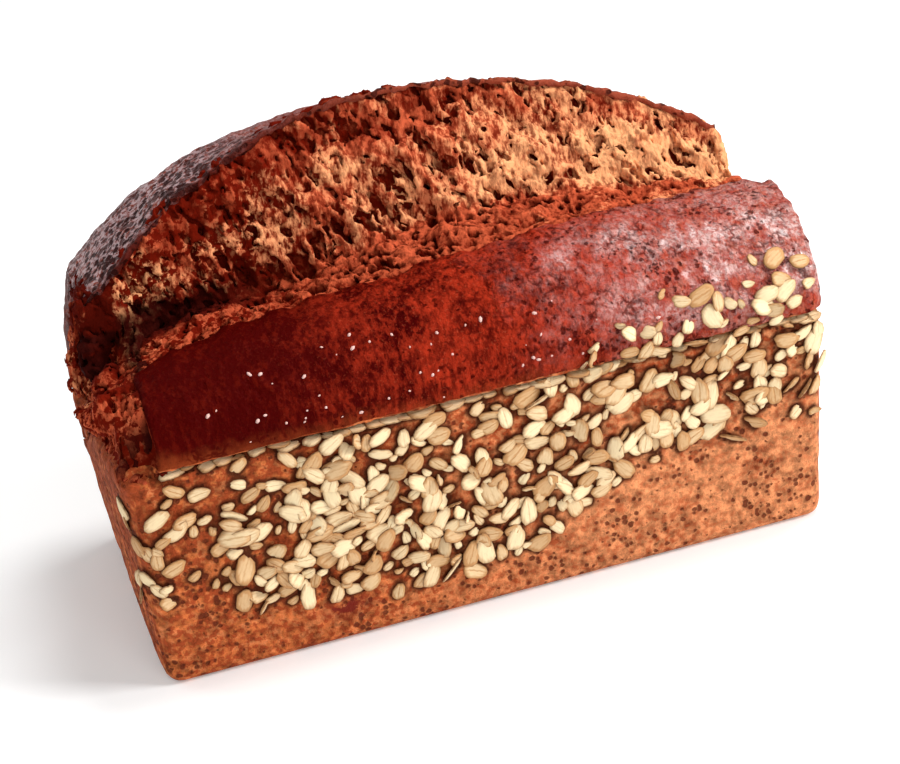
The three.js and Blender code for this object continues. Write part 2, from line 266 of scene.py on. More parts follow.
class LoafForm:
    """The loaf's outlines, worked out from its sizes"""

    def __init__(self, sizes):
        self.half = sizes.length / MM / 2
        self.width = sizes.width / MM
        self.rim = sizes.rim / MM
        self.taper = sizes.taper / MM
        self.corner = sizes.corner / MM
        self.foot_round = sizes.foot_round / MM
        self.overhang = sizes.crust_overhang / MM
        self.thickness = sizes.crust_thickness / MM
        self.recess = 0.8 * sizes.crumb_depth / MM
        self.lip_y = through([(x, y) for x, y, z in LIP])
        self.lip_z = through([(x, z) for x, y, z in LIP])
        self.foot_z = through(TEAR_FOOT)

    def wall_y(self, z):
        return self.width / 2 - self.taper * (1 - z / self.rim)

    def past_lid(self, x, z, low):
        """A height that falls steeply towards low past the lid's right end"""
        t = max(0, x - LID_END_X) / (self.half - LID_END_X)
        return mix(z, low, t**LID_END_POWER)

    def arch(self, x, a):
        in_lid = min(x, LID_END_X)
        left = in_lid < a["peak_x"]
        reach = a["peak_x"] + self.half if left else LID_END_X - a["peak_x"]
        end, power = (a["left"], a["left_power"]) if left else (a["right"], a["right_power"])
        z = a["peak"] - (a["peak"] - end) * (abs(in_lid - a["peak_x"]) / reach) ** power
        return self.past_lid(x, z, a["low"])

    def lip(self, x):
        ragged = 1.8 * rough((x, 0, 0), 9, 1.3) + 0.9 * rough((x, 0, 0), 3.1, 2.6)
        return self.lip_y(x) + ragged, self.lip_z(x) + 0.5 * ragged

    def tear_foot(self, x):
        left, middle, right = TEAR_FOOT_Y
        y = mix(left, middle, smooth(x, -120, -80)) + (right - middle) * smooth(x, 60, LID_END_X)
        return y, self.past_lid(x, self.foot_z(x), TORN_EDGE["low"] - 1)

    def torn_edge(self, x):
        ragged = 1.1 * rough((x, 0, 0), 6, 4.2) + 1.0 * rough((x, 0, 0), 2.6, 5.1)
        y = mix(*TORN_EDGE_Y, smooth(x, -self.half, 0))
        return y + 0.8 * ragged, self.arch(x, TORN_EDGE) + ragged

    def crest(self, x):
        return CREST_Y, self.arch(x, CREST)

    def shoulder(self, start, end, power, t):
        """A quarter of a superellipse from its upright start to its level end, both (y, z)"""
        angle = t * math.pi / 2
        out = math.cos(angle) ** (2 / power)
        up = math.sin(angle) ** (2 / power)
        return mix(end[0], start[0], out), mix(start[1], end[1], up)

    def end_shift(self, x, z):
        """How far the ends draw in: the tin's taper, and the lid's setback at the left"""
        taper = self.taper * max(0, 1 - z / self.rim) * smooth(abs(x), 70, self.half)
        setback = LID_SETBACK * smooth(z, 84, 112) * smooth(-x, 80, self.half)
        return math.copysign(taper + setback, x)

    def stretch(self, name, x, side, t):
        """The point (y, z) at t along one named stretch of the outline at x; side is -1 in front"""
        to_end = self.half - abs(x)
        inset = drawn_in(self.corner, to_end)
        lift = drawn_in(self.foot_round, to_end)
        foot_y = self.wall_y(self.foot_round) - inset
        if name == "base":
            return side * t * (foot_y - self.foot_round), lift
        if name == "foot":
            angle = t * math.pi / 2
            out = self.foot_round * (1 - math.sin(angle))
            return side * (foot_y - out), lift + self.foot_round * (1 - math.cos(angle))
        if name == "wall":
            z = mix(lift + self.foot_round, self.rim - CREASE_DROP, t)
            return side * (self.wall_y(z) - inset), z
        torn_corner = TORN_CORNER_DEPTH * smooth(TORN_CORNER_X + 1.5 - x, 0, 3) if side < 0 else 0
        crust_y = self.width / 2 + self.overhang - inset - torn_corner
        if name == "crease":
            ridge = 0.5 * math.exp(-(((t - 0.2) / 0.16) ** 2))
            groove = 2.6 * math.exp(-(((t - 0.55) / 0.2) ** 2))
            y = mix(self.wall_y(self.rim) - inset, crust_y, smooth(t, 0.4, 1)) + ridge - groove
            return side * y, self.rim - CREASE_DROP + t * CREASE_SWELL
        start = side * crust_y, self.rim - CREASE_DROP + CREASE_SWELL
        lip, foot, edge, crest = self.lip(x), self.tear_foot(x), self.torn_edge(x), self.crest(x)
        deep = self.recess
        low_lip = lip[0] + 1.2, lip[1] - self.thickness
        deep_lip = lip[0] + 1.0, min(lip[1] - self.thickness, lip[1] - deep)
        deepest = 0.8 * deep + 4.5 * smooth(-x, 45, 85)
        deep_foot = foot[0] + deepest, foot[1] - deepest
        deep_edge = edge[0] + deep, edge[1] - self.thickness - 1.5
        if name == "front_crust":
            return self.shoulder(start, lip, FRONT_SHOULDER, 0.95 * t)
        if name == "lip":
            nearer = mix(lip[0], low_lip[0], min(1, 2 * t)), mix(lip[1], low_lip[1], min(1, 2 * t))
            t = max(0, 2 * t - 1)
            return mix(nearer[0], deep_lip[0], t), mix(nearer[1], deep_lip[1], t)
        if name == "ledge":
            return mix(deep_lip[0], deep_foot[0], t), mix(deep_lip[1], deep_foot[1], t)
        if name == "tear":
            return mix(deep_foot[0], deep_edge[0], t), mix(deep_foot[1], deep_edge[1], t)
        if name == "lid_edge":
            under = edge[0] + 0.3, edge[1] - self.thickness
            nearer = mix(deep_edge[0], under[0], min(1, 2 * t)), mix(deep_edge[1], under[1], min(1, 2 * t))
            t = max(0, 2 * t - 1)
            return mix(nearer[0], edge[0], t), mix(nearer[1], edge[1], t)
        if name == "lid":
            bend = 0.14
            if t < bend:
                share = t / bend
                roll = 0.45 * math.sin(share * math.pi)
                return mix(edge[0], crest[0], share), mix(edge[1], crest[1], share) + roll
            share = 1 - (t - bend) / (1 - bend)
            return self.shoulder(start, crest, BACK_SHOULDER, share)
        raise ValueError(name)

    def outline(self, x):
        """The closed outline at x as [(stretch name, y, z)]"""
        points = []
        for i, (name, count) in enumerate(STRETCHES):
            side = -1 if i < FRONT_STRETCHES else 1
            backwards = name in ("crease", "wall", "foot", "base") and side > 0
            for k in range(count):
                t = 1 - k / count if backwards else k / count
                points.append((name, *self.stretch(name, x, side, t)))
        return points


# Meshes


def finished(name, bm, materials):
    """Scales the mesh to metres, makes its object and lets it ride on the loaf's body"""
    bmesh.ops.scale(bm, vec=(MM, MM, MM), verts=bm.verts)
    mesh = bpy.data.meshes.new(name)
    bm.to_mesh(mesh)
    bm.free()
    for material in materials:
        mesh.materials.append(material)
    mesh.polygons.foreach_set("use_smooth", [True] * len(mesh.polygons))
    piece = bpy.data.objects.new(name, mesh)
    bpy.context.scene.collection.objects.link(piece)
    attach(piece, "root")
    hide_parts(NODE)
    return piece


def wall_relief(p, left_end):
    relief = 0.45 * rough(p, 22, 1) + 0.22 * rough(p, 6, 2) + 0.12 * rough(p, 2.4, 3)
    if left_end:
        relief += 0.7 * rough((p[1], 0, p[2] / 7), 3.5, 4) * smooth(p[2], 4, 30)
    return relief * smooth(p[2], 1, 9)


def crust_relief(p):
    cracks = abs(rough(p, 11, 6)) ** 0.5
    fine = 0.34 * rough(p, 3.6, 7) + 0.24 * rough(p, 2.2, 8)
    return 0.5 * rough(p, 9, 5) + mix(1, 1.7, smooth(p[0], -30, 50)) * fine + 0.35 * cracks


def lid_relief(p):
    return 0.9 * rough(p, 12, 9) + 0.6 * rough(p, 4.2, 10) + 0.35 * rough(p, 2.2, 11)


def deep_relief(p):
    return 1.0 * rough(p, 5, 12)


def torn_corner(p):
    """1 where the left end has torn open above the rim, round to the front crust's edge"""
    x, y, z = p
    upright = smooth(z, 80, 86) * (1 - smooth(z, 114, 121))
    return upright * smooth(-x, 106.5, 109.5) * (1 - smooth(y, 14, 32))


RELIEFS = {
    "base": lambda p, end: 0,
    "foot": wall_relief,
    "wall": wall_relief,
    "crease": lambda p, end: wall_relief(p, end) + 0.4 * rough(p, 2.6, 13),
    "front_crust": lambda p, end: crust_relief(p),
    "lip": lambda p, end: 0.6 * crust_relief(p),
    "ledge": lambda p, end: deep_relief(p),
    "tear": lambda p, end: deep_relief(p),
    "lid_edge": lambda p, end: lid_relief(p),
    "lid": lambda p, end: lid_relief(p),
}
SLOTS = dict(zip(RELIEFS, (*[WALL_SLOT] * 4, *[FRONT_SLOT] * 2, *[DEEP_SLOT] * 2, *[LID_SLOT] * 2)))


def end_slot(p):
    """Which surface an end shows at p"""
    if p.z < (80 if p.x > 0 else 84):
        return WALL_SLOT
    if p.x < 0:
        return LID_SLOT if p.z > 108 or p.y > 20 else FRONT_SLOT
    return FRONT_SLOT if p.y < 16 else LID_SLOT


def body_mesh(form):
    """A grid wrapped round the loaf: its columns follow the outline, its rows go from end to end"""
    names = [name for name, count in STRETCHES for _ in range(count)]
    around = len(names)
    rows = []
    for k in range(STATIONS + 1):
        along = 2 * k / STATIONS - 1
        x = form.half * math.sin(math.pi / 2 * along) * 0.28 + form.half * 0.72 * along
        rows.append([(x - form.end_shift(x, z), y, z) for _, y, z in form.outline(x)])

    def cap(rim, side, rings):
        made = []
        for k in range(1, rings + 1):
            share = 1 - (k / (rings + 0.5)) ** 0.9
            ring = []
            for px, py, pz in rim:
                y, z = mix(CAP_CENTRE[0], py, share), mix(CAP_CENTRE[1], pz, share)
                bulge = END_BULGE * (1 - share * share)
                groove = 0 if side > 0 else 3.4 * math.exp(-(((z - GAP_Z) / 6) ** 2)) * smooth(30 - y, 0, 60)
                ring.append((px + side * (bulge - groove), y, z))
            made.append(ring)
        return made

    rows = cap(rows[0], -1, LEFT_CAP_RINGS)[::-1] + rows + cap(rows[-1], 1, RIGHT_CAP_RINGS)
    bm = bmesh.new()
    stretch = bm.verts.layers.int.new("stretch")
    bmesh.ops.create_grid(bm, x_segments=around, y_segments=len(rows) - 1, size=1)
    bm.verts.index_update()
    kinds = list(RELIEFS)
    for i, v in enumerate(bm.verts):
        row, column = divmod(i, around + 1)
        v.co = rows[row][column % around]
        v[stretch] = kinds.index(names[column % around])
    first_body_row = LEFT_CAP_RINGS
    last_body_row = len(rows) - 1 - RIGHT_CAP_RINGS
    for face in bm.faces:
        i = min(v.index for v in face.verts)
        row, column = divmod(i, around + 1)
        face.material_index = SLOTS[names[column % around]]
        if row < first_body_row or row >= last_body_row:
            face.material_index = end_slot(face.calc_center_median())
        if torn_corner(face.calc_center_median()) > 0.5:
            face.material_index = DEEP_SLOT
    bmesh.ops.remove_doubles(bm, verts=bm.verts, dist=1e-4)
    bmesh.ops.holes_fill(bm, edges=[e for e in bm.edges if e.is_boundary], sides=0)
    bmesh.ops.recalc_face_normals(bm, faces=bm.faces)
    bm.normal_update()
    moves = []
    for v in bm.verts:
        kind = kinds[v[stretch]]
        left_end = v.co.x < -form.half + 4
        if abs(v.co.x) > form.half - 1:
            kind = "wall" if v.co.z < form.rim + 2 else "front_crust"
        moves.append(v.normal * (RELIEFS[kind](tuple(v.co), left_end) - 3.6 * torn_corner(v.co)))
    for v, move in zip(bm.verts, moves):
        v.co += move
    bm.verts.layers.int.remove(bm.verts.layers.int["stretch"])
    return bm


def sheet(columns, rows, place):
    """A grid of millimetre points given by place(s, t), both 0 to 1"""
    bm = bmesh.new()
    bmesh.ops.create_grid(bm, x_segments=columns, y_segments=rows, size=1)
    for i, v in enumerate(bm.verts):
        row, column = divmod(i, columns + 1)
        v.co = place(column / columns, row / rows)
    bm.normal_update()
    return bm


def tear_sheet(form):
    """The face of the tear with the ledge before it"""

    def place(s, t):
        x = mix(-form.half + 1, form.half - 2, s)
        lip, foot, edge = form.lip(x), form.tear_foot(x), form.torn_edge(x)
        bend = 0.36
        if t < bend:
            a, b, share = (lip[0] + 0.8, lip[1] - 1.6), foot, t / bend
        else:
            a, b, share = foot, (edge[0] + 0.3, edge[1] - 3.6), (t - bend) / (1 - bend)
        y, z = mix(a[0], b[0], share), mix(a[1], b[1], share)
        open_face = smooth(t, 0.03, 0.3) * (1 - smooth(t, 0.92, 1))
        slanted = x + 0.45 * z
        crag = 3.0 * rough((slanted, y, 0.5 * z), 24, 18) + 4.0 * rough((slanted, y, 0.8 * z), 12, 14)
        crag = open_face * (crag + 2.6 * rough((slanted, 1.4 * y, 0.6 * z), 5.5, 15)) - 0.7
        crag -= 5.5 * math.exp(-(((t - 0.34) / 0.07) ** 2)) * smooth(-x, 35, 80)
        up = mix(0.9, 0.35, smooth(t, 0.2, 0.45))
        return x - form.end_shift(x, z), y - (1 - up) * crag, z + up * crag

    return sheet(150, 40, place)


def end_sheet(crust):
    """The torn left end: along the end from its back, round the corner, to the front crust's edge"""

    def place(s, t):
        turn = 0.66
        angle = min(1, (1 - s) / (1 - turn)) * math.pi / 2
        inward = Vector((math.sin(angle), math.cos(angle), 0))
        y = mix(27, -42, min(1, s / turn))
        top = mix(mix(97, 103, smooth(y, -34, -22)), 118, smooth(y, -8, -3))
        z = mix(mix(78, 60, s), top, t)
        target = Vector((-108.5, y, z))
        point = crust.ray_cast(target - RAY_START * inward, inward)[0] or target
        if point.x > -105:
            point = target
        furrow = 3.4 * math.exp(-(((z - GAP_Z) / 4) ** 2)) + 3.1 * smooth(z, 84, 66)
        furrow += 4.2 * math.exp(-(((s - 0.93) / 0.06) ** 2)) * smooth(z, 76, 84) * (1 - smooth(z, 98, 106))
        upright = 0, 2.4 * point.y, 0.3 * z
        wrinkle = 0.8 * rough(upright, 8, 16) + 0.4 * rough(upright, 3, 17)
        reach = 2.0 * smooth(z, 80, 90) * (1 - smooth(t, 0.8, 1)) - 0.7 + wrinkle - furrow
        return point - inward * reach

    return sheet(70, 30, place)


class Tree:
    """Short ways to add and link nodes"""

    def __init__(self, tree):
        self.tree = tree

    def add(self, kind, inputs=None, **settings):
        made = self.tree.nodes.new(kind)
        for key, value in settings.items():
            setattr(made, key, value)
        for key, value in (inputs or {}).items():
            self.put(made.inputs[key], value)
        return made

    def put(self, socket, value):
        if isinstance(value, bpy.types.NodeSocket):
            self.tree.links.new(value, socket)
        else:
            socket.default_value = value

    def math(self, operation, *values, clamp=False):
        made = self.add("ShaderNodeMath", dict(enumerate(values)), operation=operation, use_clamp=clamp)
        return made.outputs[0]

    def fold(self, operation, value, others, clamp):
        for i, other in enumerate(others, 1):
            value = self.math(operation, value, other, clamp=clamp and i == len(others))
        return value

    def plus(self, value, *others, clamp=False):
        return self.fold("ADD", value, others, clamp)

    def times(self, value, *others, clamp=False):
        return self.fold("MULTIPLY", value, others, clamp)

    def most(self, value, *others):
        return self.fold("MAXIMUM", value, others, False)

    def less(self, value, other, clamp=False):
        return self.math("SUBTRACT", value, other, clamp=clamp)

    def split(self, vector):
        return tuple(self.add("ShaderNodeSeparateXYZ", {0: vector}).outputs)

    def join(self, *axes):
        return self.add("ShaderNodeCombineXYZ", dict(enumerate(axes))).outputs[0]

    def stored(self, name, output="Fac"):
        return self.add("ShaderNodeAttribute", attribute_name=name).outputs[output]

    def vector(self, operation, a, b=None, scale=None):
        made = self.add("ShaderNodeVectorMath", {0: a}, operation=operation)
        if b is not None:
            self.put(made.inputs[1], b)
        if scale is not None:
            self.put(made.inputs["Scale"], scale)
        return made.outputs["Value" if operation == "LENGTH" else "Vector"]

    def ramp(self, value, low, high, to_low=0.0, to_high=1.0):
        """value from low..high to to_low..to_high, smoothly and clamped"""
        inputs = {"Value": value, "From Min": low, "From Max": high, "To Min": to_low, "To Max": to_high}
        return self.add("ShaderNodeMapRange", inputs, interpolation_type="SMOOTHSTEP").outputs[0]

    def noise(self, vector, size, detail=3, rough=0.55):
        """Noise whose bumps are size millimetres across"""
        inputs = {"Vector": vector, "Scale": 1 / size, "Detail": detail, "Roughness": rough}
        return self.add("ShaderNodeTexNoise", inputs)

    def grains(self, *noise):
        """Noise as a value of about 0 to 1"""
        return self.noise(*noise).outputs[0]

    def grain_colours(self, *noise):
        """Noise as a colour whose channels are about 0 to 1"""
        return self.noise(*noise).outputs["Color"]

    def cells(self, vector, size, feature="F1"):
        inputs = {"Vector": vector, "Scale": 1 / size}
        return self.add("ShaderNodeTexVoronoi", inputs, feature=feature)

    def blend(self, share, a, b, kind="MIX"):
        """Colour a turned into colour b by share"""
        made = self.add("ShaderNodeMix", data_type="RGBA", blend_type=kind)
        for socket, value in zip((made.inputs[0], made.inputs[6], made.inputs[7]), (share, a, b)):
            is_plain = not isinstance(value, (float, int, bpy.types.NodeSocket))
            self.put(socket, (*value, 1) if is_plain else value)
        return made.outputs[2]


def new_group(name, kind, inputs, outputs):
    group = bpy.data.node_groups.new(name, kind)
    for direction, sockets in (("INPUT", inputs), ("OUTPUT", outputs)):
        for socket, (socket_type, default) in sockets.items():
            made = group.interface.new_socket(socket, in_out=direction, socket_type=socket_type)
            if default is not None:
                made.default_value = default
    tree = Tree(group)
    return tree, tree.add("NodeGroupInput").outputs, tree.add("NodeGroupOutput").inputs


def crumb_group():
    """Turns a sheet into a slab of open crumb: bubbles of two sizes cut out of an uneven layer"""
    name = "Open crumb"
    if name in bpy.data.node_groups:
        return bpy.data.node_groups[name]
    value = "NodeSocketFloat"
    inputs = {
        "Sheet": ("NodeSocketGeometry", None),
        "Depth": (value, 6.5),
        "Voxel": (value, 0.7),
        "Bubble": (value, 3.4),
        "Large bubble": (value, 10.5),
        "Openness": (value, 1),
        "Strand": (value, 0.42),
        "Slant": (value, 0),
        "Stretch": ("NodeSocketVector", (1, 1, 0.6)),
    }
    tree, given, result = new_group(name, "GeometryNodeTree", inputs, {"Crumb": ("NodeSocketGeometry", None)})
    times, less, vector = tree.times, tree.less, tree.vector
    place = tree.add("GeometryNodeInputPosition").outputs[0]
    nearest = tree.add("GeometryNodeProximity", {0: given["Sheet"]}, target_element="FACES")
    half = times(given["Depth"], 0.5)

    wobble = tree.grain_colours(place, 5, 2)
    warp = vector("SCALE", vector("SUBTRACT", wobble, (0.5, 0.5, 0.5)), scale=5)
    bent = tree.split(vector("ADD", place, warp))
    slanted = tree.math("MULTIPLY_ADD", bent[2], given["Slant"], bent[0])
    leaning = tree.join(slanted, bent[1], bent[2])
    pulled = vector("MULTIPLY", leaning, given["Stretch"])

    swell = tree.math("MULTIPLY_ADD", tree.grains(pulled, 8, 2), 5.6, -2.8)
    grain = tree.math("MULTIPLY_ADD", tree.grains(pulled, 1.5, 3), 2.8, -1.4)
    layer = tree.plus(half, tree.plus(swell, grain))
    slab = less(layer, nearest.outputs["Distance"])

    small = tree.add(
        "ShaderNodeTexVoronoi", {"Vector": pulled, "Scale": tree.math("DIVIDE", 1, given["Bubble"])}
    )
    luck = tree.split(small.outputs["Color"])[0]
    radius = times(given["Bubble"], tree.ramp(luck, 0, 1, 0.3, 0.68))
    radius = times(radius, given["Openness"])
    small_wall = less(times(small.outputs["Distance"], given["Bubble"]), radius)

    scale = tree.math("DIVIDE", 1, given["Large bubble"])
    large = tree.add("ShaderNodeTexVoronoi", {"Vector": pulled, "Scale": scale})
    luck = tree.split(large.outputs["Color"])[0]
    radius = times(given["Large bubble"], tree.ramp(luck, 0.25, 1, 0, 0.52))
    to_right = tree.ramp(tree.split(place)[0], 80, 5, 0.55, 1)
    radius = times(radius, times(to_right, given["Openness"]))
    large_wall = less(times(large.outputs["Distance"], given["Large bubble"]), radius)

    drift = vector("MULTIPLY", pulled, (1, 1, 0.45))
    bends = [
        less(tree.grains(vector("ADD", drift, offset), 3.6, 0), 0.5)
        for offset in ((0, 0, 0), (31, 17, 5))
    ]
    apart = vector("LENGTH", tree.join(*bends))
    strand = tree.math("MULTIPLY_ADD", apart, -3.4, given["Strand"])

    walls = tree.math("SMOOTH_MIN", small_wall, large_wall, 0.5)
    solid = tree.math("SMOOTH_MAX", walls, strand, 0.3)
    density = tree.math("SMOOTH_MIN", slab, solid, 0.5)

    around = tree.add("GeometryNodeBoundBox", {0: given["Sheet"]})
    margin = (7, 7, 7)
    low = vector("SUBTRACT", around.outputs["Min"], margin)
    high = vector("ADD", around.outputs["Max"], margin)
    extent = tree.split(vector("SUBTRACT", high, low))
    voxels = [tree.math("DIVIDE", length, given["Voxel"]) for length in extent]
    cube_inputs = {"Density": density, "Min": low, "Max": high}
    cube = tree.add("GeometryNodeVolumeCube", cube_inputs)
    for axis, count in zip("XYZ", voxels):
        tree.put(cube.inputs[f"Resolution {axis}"], count)
    surface = tree.add("GeometryNodeVolumeToMesh", {"Volume": cube.outputs[0], "Threshold": 0.02})
    tree.put(result["Crumb"], surface.outputs[0])
    return bpy.data.node_groups[name]


def largest_island(bm):
    """Drops every loose scrap and every sealed bubble, and keeps the one connected crumb"""
    bm.verts.ensure_lookup_table()
    seen = bytearray(len(bm.verts))
    bm.verts.index_update()
    best = []
    for start in bm.verts:
        if seen[start.index]:
            continue
        seen[start.index] = 1
        stack, island = [start], [start]
        while stack:
            for edge in stack.pop().link_edges:
                for v in edge.verts:
                    if not seen[v.index]:
                        seen[v.index] = 1
                        stack.append(v)
                        island.append(v)
        if len(island) > len(best):
            best = island
    keep = set(best)
    bmesh.ops.delete(bm, geom=[v for v in bm.verts if v not in keep], context="VERTS")


def open_crumb(name, flat, rows, sizes, material, limit=190_000, level=None, **shape):
    """The crumb grown on a sheet, as a piece that stores for its colour how deep each point is, and how
    far across the sheet unless a level is given for all"""
    outer = BVHTree.FromBMesh(flat)
    ribbons = len(flat.faces) / rows
    half = sizes.crumb_depth / MM / 2
    for v in flat.verts:
        v.co -= v.normal * (half - 0.6)
    mesh = bpy.data.meshes.new(name)
    flat.to_mesh(mesh)
    flat.free()
    grower = bpy.data.objects.new(name + "_grower", mesh)
    bpy.context.scene.collection.objects.link(grower)
    modifier = grower.modifiers.new("Crumb", "NODES")
    modifier.node_group = crumb_group()
    values = {
        "Depth": sizes.crumb_depth / MM,
        "Voxel": sizes.crumb_voxel / MM,
        "Bubble": sizes.bubble / MM,
        "Large bubble": sizes.large_bubble / MM,
        **shape,
    }
    for item in modifier.node_group.interface.items_tree:
        if item.in_out == "INPUT" and item.name in values:
            modifier[item.identifier] = values[item.name]
    evaluated = grower.evaluated_get(bpy.context.evaluated_depsgraph_get())
    grown = bpy.data.meshes.new_from_object(evaluated)
    bpy.data.objects.remove(grower)
    bm = bmesh.new()
    bm.from_mesh(grown)
    largest_island(bm)
    bmesh.ops.triangulate(bm, faces=bm.faces)
    triangles = len(bm.faces)
    if not triangles:
        raise RuntimeError(f"No crumb grew for {name}")
    bm.to_mesh(grown)
    bm.free()
    if triangles > limit:
        grown = thinned(grown, limit / triangles)
    bm = bmesh.new()
    bm.from_mesh(grown)
    bmesh.ops.recalc_face_normals(bm, faces=bm.faces)
    bm.verts.layers.float.new("depth")
    bm.verts.layers.float.new("across")
    depth, across = bm.verts.layers.float["depth"], bm.verts.layers.float["across"]
    for v in bm.verts:
        point, normal, face, _ = outer.find_nearest(v.co)
        v[depth] = (point - v.co).dot(normal)
        v[across] = (face // ribbons + 0.5) / rows if level is None else level
    return finished(name, bm, [material])


def thinned(mesh, ratio):
    """The mesh with its flatter stretches in fewer triangles"""
    helper = bpy.data.objects.new("thinned", mesh)
    bpy.context.scene.collection.objects.link(helper)
    modifier = helper.modifiers.new("Fewer", "DECIMATE")
    modifier.ratio = ratio
    evaluated = helper.evaluated_get(bpy.context.evaluated_depsgraph_get())
    fewer = bpy.data.meshes.new_from_object(evaluated)
    bpy.data.objects.remove(helper)
    return fewer


def flake_mesh(sizes, chance):
    """One rolled oat: a thin, slightly bent oval whose upper side has a lengthwise crease"""
    bm = bmesh.new()
    bmesh.ops.create_uvsphere(bm, u_segments=12, v_segments=5, radius=1)
    spot = bm.verts.layers.float_vector.new("spot")
    length = sizes.flake_length / MM / 2
    width = sizes.flake_width / MM / 2
    lobes = [(n, chance.uniform(0.02, 0.13 / n**0.5), chance.uniform(0, 6.28)) for n in (2, 3, 5)]
    taper = chance.uniform(0.0, 0.2)
    bend, twist = chance.uniform(-0.4, 0.7), chance.uniform(-0.35, 0.35)
    for v in bm.verts:
        angle = math.atan2(v.co.y, v.co.x)
        reach = math.hypot(v.co.x, v.co.y) ** 0.8
        ripple = 1 + sum(size * math.sin(n * angle + start) for n, size, start in lobes)
        x = math.copysign(abs(math.cos(angle)) ** 0.8, math.cos(angle)) * reach * ripple
        y = reach * math.sin(angle) * ripple * (1 - taper * math.cos(angle))
        top = v.co.z > 0
        z = math.copysign(abs(v.co.z) ** 0.7, v.co.z) * (0.55 if top else 0.4)
        if top and abs(v.co.y) < 0.1 and reach < 0.8:
            z -= 0.3
        v[spot] = (reach * math.cos(angle), reach * math.sin(angle), 1 if top else 0)
        v.co = (x * length, y * width, z + bend * (0.4 - x * x) + twist * x * y)
    mesh = bpy.data.meshes.new("flake")
    bm.to_mesh(mesh)
    bm.free()
    return mesh


def on_surface(surface, place, inward):
    """Where a line along inward meets the surface at a place, with the way the surface faces"""
    point, normal, _, _ = surface.ray_cast(place - RAY_START * inward, inward)
    if point is None:
        return None
    return point, normal if normal.dot(inward) < 0 else -normal


def laid(point, normal, spin):
    """The turn and place of a flat thing on a surface; a spin of 0 lays it along the loaf"""
    along = Vector((1, 0, 0)) if abs(normal.x) < 0.8 else Vector((0, -1, 0))
    across = normal.cross(along).normalized()
    basis = Matrix((across.cross(normal), across, normal)).transposed().to_4x4()
    return Matrix.Translation(point) @ basis @ Matrix.Rotation(spin, 4, "Z")


def tilted(normal, chance, most):
    return (normal + Vector([chance.uniform(-most, most) for _ in range(3)])).normalized()


def flake_band(x, side):
    """Lowest and highest flake at x"""
    if side < 0:
        low = mix(29, 15, smooth(x, -112, -62)) + 26 * smooth(x, -10, 85)
        return low, 78 + 24 * smooth(x, -5, 75)
    return 22 + 10 * smooth(-x, -60, 60), 86


def flake_spots(sizes, chance):
    """Places for flakes on both long walls, as (x, z, side)"""
    spots = []
    for side, count, gap in ((-1, sizes.front_flakes, 3.3), (1, sizes.back_flakes, 3.8)):
        taken = []
        for _ in range(80 * count):
            if len(taken) == count:
                break
            x = chance.uniform(-113, 117)
            low, high = flake_band(x, side)
            z = chance.uniform(low, high)
            middle = 1 - abs(2 * (z - low) / (high - low) - 1)
            at_left = smooth(-x, 74, 100)
            at_right = smooth(x, 20, 80)
            above_rim = smooth(z, 79, 84)
            patchy = 0.5 + 0.9 * smooth(rough((x, 40 * side, z), 13, 19), -0.35, 0.3)
            likely = patchy * min(1, 0.25 + 1.7 * middle) * (1 - 0.88 * at_left)
            likely *= (1 - 0.35 * at_right) * (1 - 0.2 * above_rim)
            if chance.random() > likely or (83 < z < 86 and chance.random() < 0.5):
                continue
            if any(math.hypot(x - a, z - b) < gap for a, b in taken):
                continue
            taken.append((x, z))
            spots.append((x, z, side))
    return spots


def flake_places(sizes, surface, chance):
    """A matrix for every oat flake: on the walls, round the left corner and along the rim"""
    places = []

    def stick(place, inward, lift, tilt, scale, spin, normal=None):
        found = on_surface(surface, place, inward)
        if found is None:
            return
        point, faces = found
        size = scale * chance.uniform(0.92, 1.1)
        stretch = Matrix.Diagonal((size, scale * chance.uniform(0.88, 1.12), chance.uniform(0.85, 1.2), 1))
        places.append(laid(point + lift * faces, tilted(normal or faces, chance, tilt), spin) @ stretch)

    for x, z, side in flake_spots(sizes, chance):
        large = chance.random() < 0.5
        scale = chance.uniform(0.85, 1.22) if large else chance.uniform(0.42, 0.85)
        lift = chance.uniform(0.7, 1.4) if large else chance.uniform(0.1, 0.8)
        spin = chance.gauss(0.5, 0.5) if chance.random() < 0.45 else chance.uniform(0, math.pi)
        stick(Vector((x, 0, z)), Vector((0, -side, 0)), lift, chance.choice((0.1, 0.3, 0.75)), scale, spin)
    for _ in range(sizes.corner_flakes):
        angle = chance.uniform(0.35, 1.45)
        inward = Vector((math.sin(angle), math.cos(angle), 0))
        place = Vector((-108, -44, chance.uniform(34, 74)))
        stick(place, inward, 0.5, 0.15, chance.uniform(0.7, 1.05), chance.uniform(1.0, 2.4))
    for k in range(sizes.rim_flakes):
        x = mix(-106, 117, (k + chance.uniform(0.1, 0.9)) / sizes.rim_flakes)
        place = Vector((x, 0, 79.6 + chance.uniform(-0.9, 1.1)))
        upturned = Vector((chance.uniform(-0.1, 0.1), chance.uniform(-0.55, -0.1), 1)).normalized()
        stick(
            place, Vector((0, 1, 0)), 0.9, 0.08, chance.uniform(0.62, 1.12), chance.gauss(0, 0.22), upturned
        )
    return places


def surface_of(piece):
    """A search tree of a finished piece, in millimetres"""
    bm = bmesh.new()
    bm.from_mesh(piece.data)
    bmesh.ops.scale(bm, vec=(1 / MM,) * 3, verts=bm.verts)
    tree = BVHTree.FromBMesh(bm)
    bm.free()
    return tree


def scattered(bm, shapes, places, chance):
    """Adds a copy of one of the shapes at each place, with a tone of its own"""
    bm.verts.layers.float.new("tone")
    for matrix in places:
        before = len(bm.verts)
        bm.from_mesh(chance.choice(shapes))
        bm.verts.ensure_lookup_table()
        added = bm.verts[before:]
        bmesh.ops.transform(bm, matrix=matrix, verts=added)
        tone = bm.verts.layers.float["tone"]
        value = chance.random()
        for v in added:
            v[tone] = value


